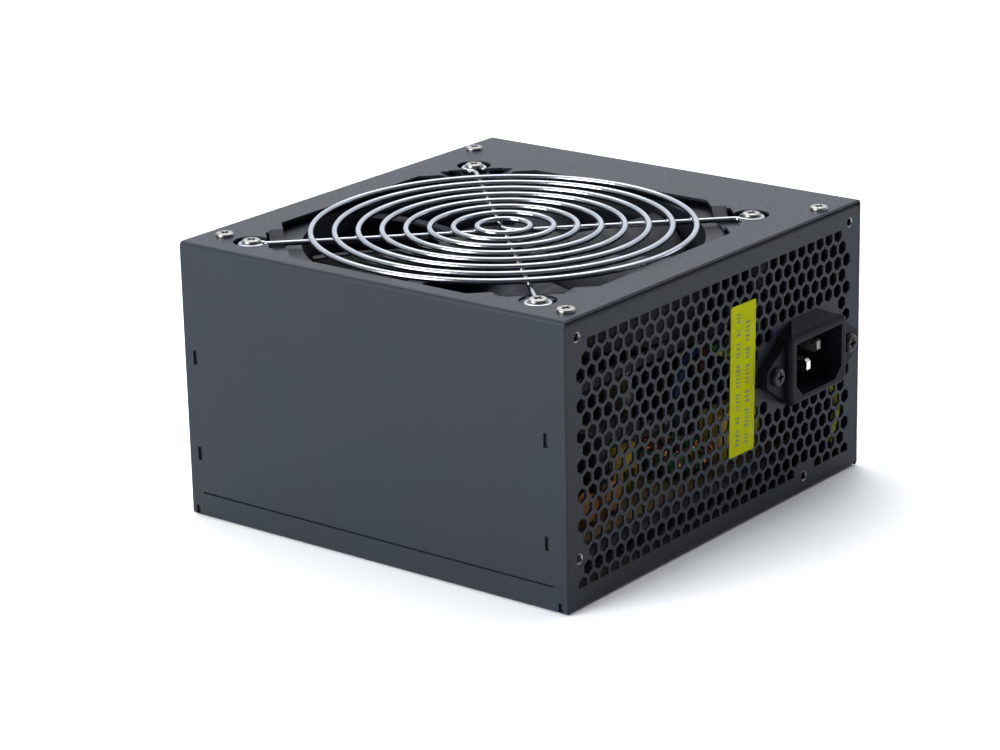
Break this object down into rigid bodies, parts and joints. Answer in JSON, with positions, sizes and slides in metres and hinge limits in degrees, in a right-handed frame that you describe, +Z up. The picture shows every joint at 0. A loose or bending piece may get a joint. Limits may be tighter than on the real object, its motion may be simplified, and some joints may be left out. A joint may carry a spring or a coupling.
{
  "type": "power supply unit",
  "caption": "Desktop computer power supply: sheet metal case with a guarded fan in the top cover, a honeycomb rear grille and a mains inlet.",
  "frame": {"origin": "centre of the bottom face of the case", "axes": "+Z up through the fan, -Y out of the rear face with the mains inlet, +X to the right seen from the rear"},
  "size_m": [0.15, 0.1472, 0.0863],
  "materials": {
    "case_paint": "satin dark grey enamel on sheet steel",
    "guard_chrome": "bright chrome plated wire",
    "screw_nickel": "nickel plated",
    "screw_black": "black oxide",
    "fan_plastic": "moulded black plastic",
    "inlet_plastic": "moulded black plastic",
    "pin_metal": "nickel plated brass",
    "label_paper": "yellow-green adhesive paper",
    "circuit_board": "tan phenolic board",
    "ferrite": "dull grey ferrite",
    "winding_tape": "yellow polyester tape",
    "copper_wire": "enamelled copper wire",
    "choke_coating": "yellow epoxy coat",
    "emi_coating": "green epoxy coat",
    "capacitor_black": "shrunk black sleeve",
    "capacitor_brown": "shrunk brown sleeve",
    "film_capacitor": "yellow moulded case",
    "disc_capacitor": "ochre dipped disc",
    "heatsink_metal": "bare aluminium",
    "chip_plastic": "black moulding compound",
    "plain_steel": "bright steel",
    "standoff_brass": "turned brass",
    "fuse_ceramic": "white ceramic tube",
    "wire_red": "red insulation",
    "wire_black": "black insulation",
    "wire_brown": "brown insulation",
    "wire_blue": "dark blue insulation",
    "wire_earth": "green and yellow insulation",
    "connector_white": "ivory nylon",
    "insulation_film": "milky polyester film",
    "grommet_rubber": "black rubber"
  },
  "bodies": {
    "case": {"base_tray": "case_paint", "board_screws": "screw_nickel", "board_standoffs": "standoff_brass", "bridge_rectifier": "chip_plastic", "bulk_capacitors": "capacitor_black", "cable_grommet": "grommet_rubber", "choke_core": "choke_coating", "choke_winding": "copper_wire", "circuit_board": "circuit_board", "control_chip": "chip_plastic", "cover_screws": "screw_nickel", "driver_core": "ferrite", "driver_winding": "winding_tape", "earth_lug": "screw_nickel", "earth_screw": "screw_nickel", "earth_wire": "wire_earth", "emi_core": "emi_coating", "emi_winding": "copper_wire", "fan_bearing": "standoff_brass", "fan_board": "circuit_board", "fan_coils": "copper_wire", "fan_frame": "fan_plastic", "fan_header": "connector_white", "fan_lead_black": "wire_black", "fan_lead_red": "wire_red", "fan_plug": "connector_white", "fan_stator": "plain_steel", "front_panel": "case_paint", "fuse": "fuse_ceramic", "fuse_clips": "plain_steel", "guard_arms": "guard_chrome", "guard_rings": "guard_chrome", "guard_screws": "screw_nickel", "inlet_body": "inlet_plastic", "inlet_pins": "pin_metal", "inlet_screws": "screw_black", "insulation_sheet": "insulation_film", "live_wire": "wire_brown", "neutral_wire": "wire_blue", "output_capacitors": "capacitor_brown", "panel_label": "label_paper", "power_transistors": "chip_plastic", "primary_heatsink": "heatsink_metal", "rear_panel": "case_paint", "rectifier_diodes": "chip_plastic", "secondary_heatsink": "heatsink_metal", "spring_clips": "plain_steel", "standby_core": "ferrite", "standby_winding": "winding_tape", "top_cover": "case_paint", "transformer_core": "ferrite", "transformer_winding": "winding_tape", "x_capacitor": "film_capacitor", "y_capacitors": "disc_capacitor"},
    "fan_wheel": {"fan_rotor": "fan_plastic", "fan_shaft": "plain_steel", "shaft_clip": "plain_steel", "rotor_yoke": "plain_steel", "fan_magnet": "ferrite"}
  },
  "joints": [
    {"name": "fan_spin", "type": "hinge", "parent": "case", "child": "fan_wheel", "pos_m": [-0.0105, 0, 0.0715], "axis": [0, 0, 1], "continuous": true}
  ]
}
